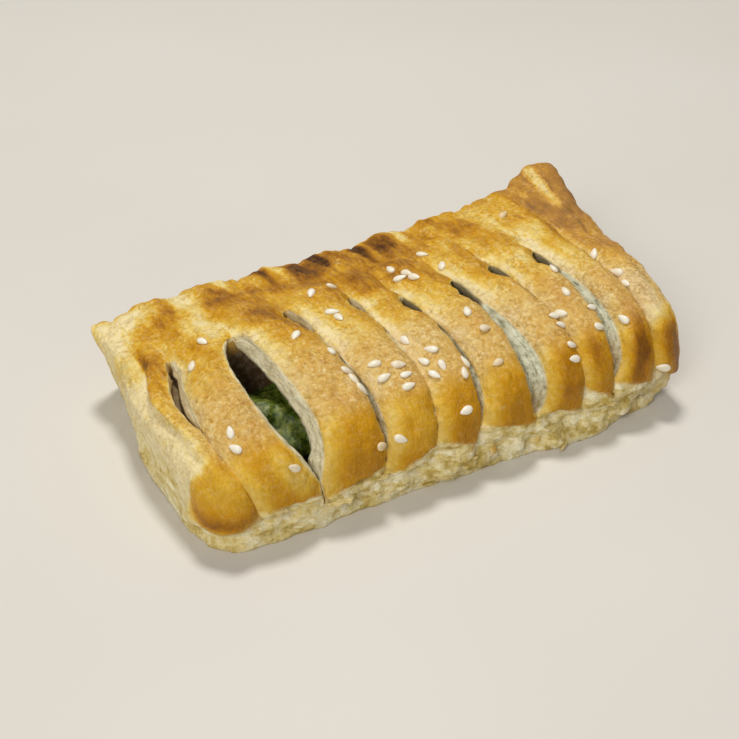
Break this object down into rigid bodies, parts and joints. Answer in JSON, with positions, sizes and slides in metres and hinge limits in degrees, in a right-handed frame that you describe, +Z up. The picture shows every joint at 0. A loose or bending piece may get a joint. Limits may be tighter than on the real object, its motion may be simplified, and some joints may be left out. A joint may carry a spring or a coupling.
{
  "type": "mung bean pastry",
  "caption": "Puff pastry parcel with slits across its browned top, sesame seeds on the crust and a roll of green mung bean filling inside.",
  "frame": {"origin": "middle of the outline on the surface that the pastry lies on", "axes": "+X along the length, away from the end with the widest slit; the slit front faces -Y; +Z up"},
  "size_m": [0.1326, 0.0764, 0.0319],
  "materials": {
    "crust": "baked and egg-glazed, with a soft sheen",
    "filling": "moist paste"
  },
  "bodies": {
    "root": {"crust": "crust", "filling": "filling"}
  },
  "joints": []
}
